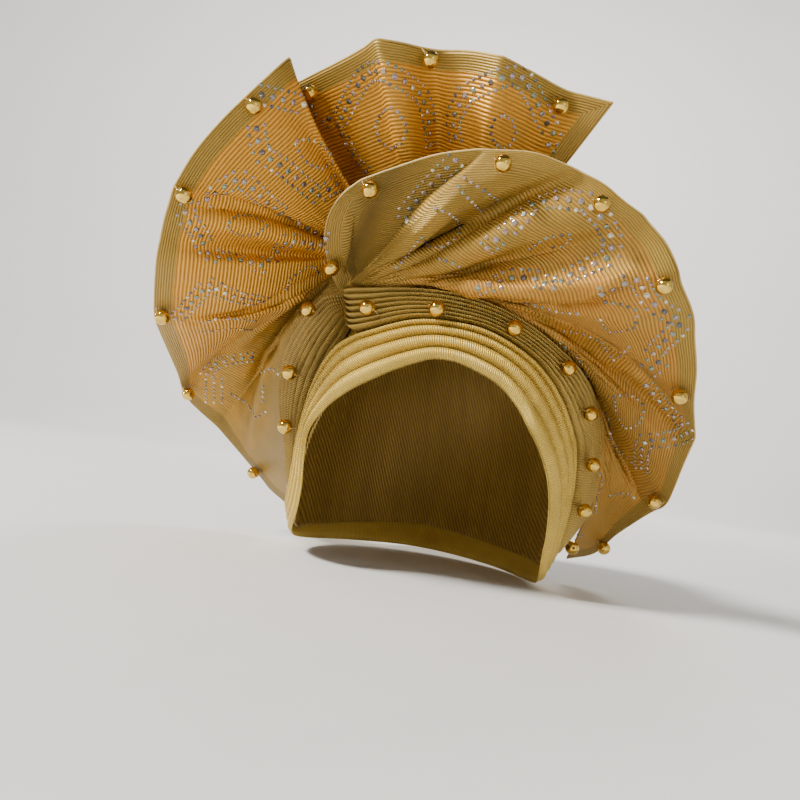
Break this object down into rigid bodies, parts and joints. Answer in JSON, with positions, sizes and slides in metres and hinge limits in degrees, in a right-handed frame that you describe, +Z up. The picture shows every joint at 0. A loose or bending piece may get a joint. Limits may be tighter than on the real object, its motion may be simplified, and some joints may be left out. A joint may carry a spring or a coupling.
{
  "type": "tied gele head tie",
  "caption": "Tied gele head tie in its worn form: pleated bands round an open head hollow, with two wide stiff pleated fans and gold beads sewn along the folds.",
  "frame": {"origin": "middle of the head hollow at brow level, where the head carries the tie", "axes": "+Z up along the head, front (the face) at -Y, +X towards the side of the wide front fan"},
  "size_m": [0.2976, 0.2391, 0.2496],
  "materials": {
    "olive_gold_cloth": "ribbed satin",
    "orange_gold_cloth": "ribbed satin",
    "pale_gold_cloth": "ribbed satin",
    "polished_gold": "polished"
  },
  "bodies": {
    "root": {"cap": "olive_gold_cloth", "forehead_band": "pale_gold_cloth", "crown_band": "olive_gold_cloth", "left_pleats": "olive_gold_cloth", "back_fan": "orange_gold_cloth", "front_fan": "olive_gold_cloth", "bead_01": "polished_gold", "bead_02": "polished_gold", "bead_03": "polished_gold", "bead_04": "polished_gold", "bead_05": "polished_gold", "bead_06": "polished_gold", "bead_07": "polished_gold", "bead_08": "polished_gold", "bead_09": "polished_gold", "bead_10": "polished_gold", "bead_11": "polished_gold", "bead_12": "polished_gold", "bead_13": "polished_gold", "bead_14": "polished_gold", "bead_15": "polished_gold", "bead_16": "polished_gold", "bead_17": "polished_gold", "bead_18": "polished_gold", "bead_19": "polished_gold", "bead_20": "polished_gold", "bead_21": "polished_gold", "bead_22": "polished_gold", "bead_23": "polished_gold", "bead_24": "polished_gold", "bead_25": "polished_gold", "bead_26": "polished_gold", "bead_27": "polished_gold"}
  },
  "joints": []
}
